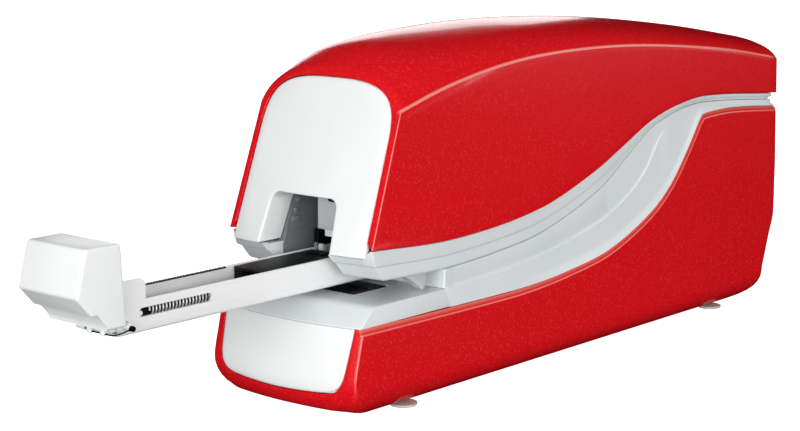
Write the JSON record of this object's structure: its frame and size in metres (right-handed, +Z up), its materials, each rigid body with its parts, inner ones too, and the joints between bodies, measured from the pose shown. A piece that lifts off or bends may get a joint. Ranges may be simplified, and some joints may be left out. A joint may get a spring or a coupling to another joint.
{
  "type": "electric desk stapler",
  "caption": "Battery-powered desk stapler with a curved two-tone case, open paper slot and a staple drawer that slides out at the front.",
  "frame": {"origin": "on the table under the middle of the whole stapler's box, with the drawer out", "axes": "+Z up, +Y from the drawer and paper slot at the front towards the rear, +X to the right seen from the front with +Y ahead"},
  "size_m": [0.0538, 0.301, 0.1032],
  "materials": {
    "red_shell": "glossy red ABS with a fine metallic fleck",
    "white_panel": "smooth white moulded ABS, soft gloss",
    "light_grey_plastic": "light grey moulded acetal",
    "dark_grey_plastic": "dark grey moulded ABS, fine spark texture",
    "black_plastic": "black moulded plastic, satin",
    "bright_steel": "zinc-plated sheet steel, smooth",
    "black_steel": "blackened steel",
    "gear_plastic": "natural acetal",
    "brass": "cut brass",
    "foot_rubber": "milky soft rubber",
    "green_board": "green solder mask",
    "battery_can": "plain dark foil-wrapped steel can"
  },
  "bodies": {
    "housing": {"anvil_plate": "black_steel", "base_plate": "dark_grey_plastic", "battery_cell_1": "battery_can", "battery_cell_2": "battery_can", "battery_cell_3": "battery_can", "battery_cell_4": "battery_can", "battery_tray": "black_plastic", "capacitor": "black_plastic", "case_screw_1": "bright_steel", "case_screw_2": "bright_steel", "case_screw_3": "bright_steel", "case_screw_4": "bright_steel", "chassis_bridge": "bright_steel", "chassis_left": "bright_steel", "chassis_right": "bright_steel", "circuit_board": "green_board", "contact_plate_front": "bright_steel", "contact_plate_rear": "bright_steel", "deck": "white_panel", "driver_spring": "bright_steel", "entry_guide_left": "black_plastic", "entry_guide_right": "black_plastic", "foot_1": "foot_rubber", "foot_2": "foot_rubber", "foot_3": "foot_rubber", "foot_4": "foot_rubber", "front_panel": "white_panel", "head_frame": "dark_grey_plastic", "head_trim": "white_panel", "latch_pin": "bright_steel", "lower_front_panel": "white_panel", "lower_shell": "red_shell", "magazine_guide": "black_plastic", "middle_body": "white_panel", "motor": "bright_steel", "power_relay": "black_plastic", "reduction_shaft": "bright_steel", "trigger_pin": "bright_steel", "trigger_switch": "black_plastic", "upper_shell": "red_shell"},
    "drawer": {"magazine_channel": "bright_steel", "spring_anchor": "bright_steel", "cap_pin": "bright_steel", "pusher_spring": "bright_steel"},
    "cap": {"magazine_cap": "white_panel", "cap_wire": "black_steel"},
    "pusher": {"staple_pusher": "black_plastic"},
    "driver": {"driver_block": "light_grey_plastic", "driver_blade": "bright_steel"},
    "cam": {"cam_gear": "gear_plastic", "cam_shaft": "bright_steel", "crank_disc": "bright_steel"},
    "reduction": {"reduction_gear": "gear_plastic"},
    "pinion": {"motor_pinion": "brass"},
    "trigger": {"paper_trigger": "light_grey_plastic"},
    "latch": {"drawer_latch": "light_grey_plastic"},
    "hatch": {"battery_door": "dark_grey_plastic"}
  },
  "joints": [
    {"name": "drawer_slide", "type": "slide", "parent": "housing", "child": "drawer", "axis": [0, 1, 0], "range_m": [0, 0.0845]},
    {"name": "cap_tilt", "type": "hinge", "parent": "drawer", "child": "cap", "pos_m": [0, -0.13209, 0.0368], "axis": [1, 0, 0], "range_deg": [0, 6], "stiffness_Nm_per_rad": 0.2, "springref_deg": -5.73},
    {"name": "pusher_slide", "type": "slide", "parent": "drawer", "child": "pusher", "axis": [0, -1, 0], "range_m": [0, 0.041]},
    {"name": "driver_slide", "type": "slide", "parent": "housing", "child": "driver", "axis": [0, 0, -1], "range_m": [0, 0.01], "stiffness_N_per_m": 300, "springref_m": -0.008, "deforming": ["driver_spring"]},
    {"name": "cam_spin", "type": "hinge", "parent": "housing", "child": "cam", "pos_m": [0, -0.02879, 0.07], "axis": [1, 0, 0], "continuous": true},
    {"name": "reduction_spin", "type": "hinge", "parent": "housing", "child": "reduction", "pos_m": [0, -0.00837, 0.07703], "axis": [1, 0, 0], "continuous": true},
    {"name": "motor_spin", "type": "hinge", "parent": "housing", "child": "pinion", "pos_m": [0, 0.00916, 0.06995], "axis": [1, 0, 0], "continuous": true},
    {"name": "trigger_tilt", "type": "hinge", "parent": "housing", "child": "trigger", "pos_m": [0.022, -0.05119, 0.0436], "axis": [1, 0, 0], "range_deg": [0, 12], "stiffness_Nm_per_rad": 0.02, "springref_deg": -17.19},
    {"name": "latch_tilt", "type": "hinge", "parent": "housing", "child": "latch", "pos_m": [0, 0.03371, 0.05], "axis": [1, 0, 0], "range_deg": [0, 10], "stiffness_Nm_per_rad": 0.02, "springref_deg": -17.19},
    {"name": "hatch_hinge", "type": "hinge", "parent": "housing", "child": "hatch", "pos_m": [0, 0.11841, 0.0046], "axis": [1, 0, 0], "range_deg": [0, 95]}
  ],
  "couplings": [
    {"joint": "reduction_spin", "follows": "cam_spin", "ratio": -3},
    {"joint": "motor_spin", "follows": "cam_spin", "ratio": 13.2}
  ]
}
